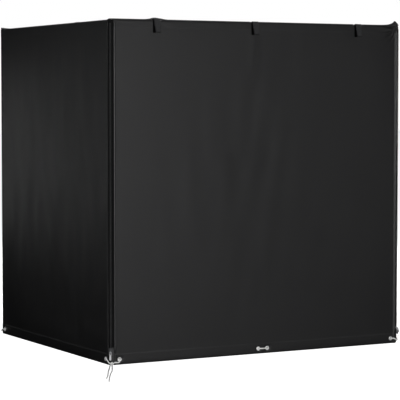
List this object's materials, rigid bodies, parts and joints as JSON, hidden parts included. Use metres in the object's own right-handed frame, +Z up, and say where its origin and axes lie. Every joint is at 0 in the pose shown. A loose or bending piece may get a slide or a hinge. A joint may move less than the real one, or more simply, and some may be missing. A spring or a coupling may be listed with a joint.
{
  "type": "printer enclosure tent",
  "caption": "Box-shaped black cloth enclosure laced over a steel tube frame, with a zipped lift-up front door and tabs that hold it open.",
  "frame": {"origin": "on the floor, under the middle of the cover's footprint", "axes": "+X to the right along the front, +Y from the door to the back, +Z up"},
  "size_m": [1.0386, 0.9917, 0.9018],
  "materials": {
    "cover_cloth": "matte",
    "tab_webbing": "matte",
    "zip_tape": "matte",
    "zip_metal": "satin",
    "frame_steel": "satin",
    "corner_plastic": "matte",
    "eyelet_metal": "satin",
    "cord_white": "matte"
  },
  "bodies": {
    "tent_body": {"top_front_rail": "frame_steel", "top_back_rail": "frame_steel", "top_left_rail": "frame_steel", "top_right_rail": "frame_steel", "bottom_front_rail": "frame_steel", "bottom_back_rail": "frame_steel", "bottom_left_rail": "frame_steel", "bottom_right_rail": "frame_steel", "front_left_upright": "frame_steel", "front_right_upright": "frame_steel", "back_right_upright": "frame_steel", "back_left_upright": "frame_steel", "top_front_left_corner": "corner_plastic", "top_front_right_corner": "corner_plastic", "top_back_right_corner": "corner_plastic", "top_back_left_corner": "corner_plastic", "bottom_front_left_corner": "corner_plastic", "bottom_front_right_corner": "corner_plastic", "bottom_back_right_corner": "corner_plastic", "bottom_back_left_corner": "corner_plastic", "left_panel": "cover_cloth", "right_panel": "cover_cloth", "back_panel": "cover_cloth", "roof_panel": "cover_cloth", "left_zip_body_half": "zip_tape", "left_zip_end_patch": "zip_tape", "right_zip_body_half": "zip_tape", "right_zip_end_patch": "zip_tape", "back_left_eyelet": "eyelet_metal", "back_centre_left_eyelet": "eyelet_metal", "back_centre_right_eyelet": "eyelet_metal", "back_right_eyelet": "eyelet_metal", "left_front_eyelet": "eyelet_metal", "left_back_eyelet": "eyelet_metal", "right_front_eyelet": "eyelet_metal", "right_back_eyelet": "eyelet_metal", "body_hem_cord": "cord_white", "corner_knot": "cord_white", "long_cord_tail": "cord_white", "short_cord_tail": "cord_white"},
    "door": {"front_door": "cover_cloth", "left_zip_door_half": "zip_tape", "right_zip_door_half": "zip_tape", "door_hem_cord": "cord_white", "front_left_eyelet": "eyelet_metal", "front_centre_left_eyelet": "eyelet_metal", "front_centre_right_eyelet": "eyelet_metal", "front_right_eyelet": "eyelet_metal"},
    "left_tab_flap": {"left_tab": "tab_webbing"},
    "middle_tab_flap": {"middle_tab": "tab_webbing"},
    "right_tab_flap": {"right_tab": "tab_webbing"},
    "left_slider": {"left_zip_slider": "zip_metal"},
    "right_slider": {"right_zip_slider": "zip_metal"},
    "left_puller": {"left_zip_puller": "zip_metal"},
    "right_puller": {"right_zip_puller": "zip_metal"}
  },
  "joints": [
    {"name": "door_lift", "type": "hinge", "parent": "tent_body", "child": "door", "pos_m": [0, -0.3706, 0.9006], "axis": [-1, 0, 0], "range_deg": [0, 110]},
    {"name": "left_tab_lift", "type": "hinge", "parent": "door", "child": "left_tab_flap", "pos_m": [-0.319, -0.3723, 0.9006], "axis": [-1, 0, 0], "range_deg": [0, 140]},
    {"name": "middle_tab_lift", "type": "hinge", "parent": "door", "child": "middle_tab_flap", "pos_m": [-0.021, -0.3723, 0.9006], "axis": [-1, 0, 0], "range_deg": [0, 140]},
    {"name": "right_tab_lift", "type": "hinge", "parent": "door", "child": "right_tab_flap", "pos_m": [0.311, -0.3723, 0.9006], "axis": [-1, 0, 0], "range_deg": [0, 140]},
    {"name": "left_zip_slide", "type": "slide", "parent": "tent_body", "child": "left_slider", "axis": [0, 0, 1], "range_m": [0, 0.83]},
    {"name": "right_zip_slide", "type": "slide", "parent": "tent_body", "child": "right_slider", "axis": [0, 0, 1], "range_m": [0, 0.83]},
    {"name": "left_puller_lift", "type": "hinge", "parent": "left_slider", "child": "left_puller", "pos_m": [-0.45496, -0.36996, 0.036], "axis": [-0.7071, 0.7071, 0], "range_deg": [0, 170]},
    {"name": "right_puller_lift", "type": "hinge", "parent": "right_slider", "child": "right_puller", "pos_m": [0.45496, -0.36996, 0.036], "axis": [-0.7071, -0.7071, 0], "range_deg": [0, 170]}
  ]
}
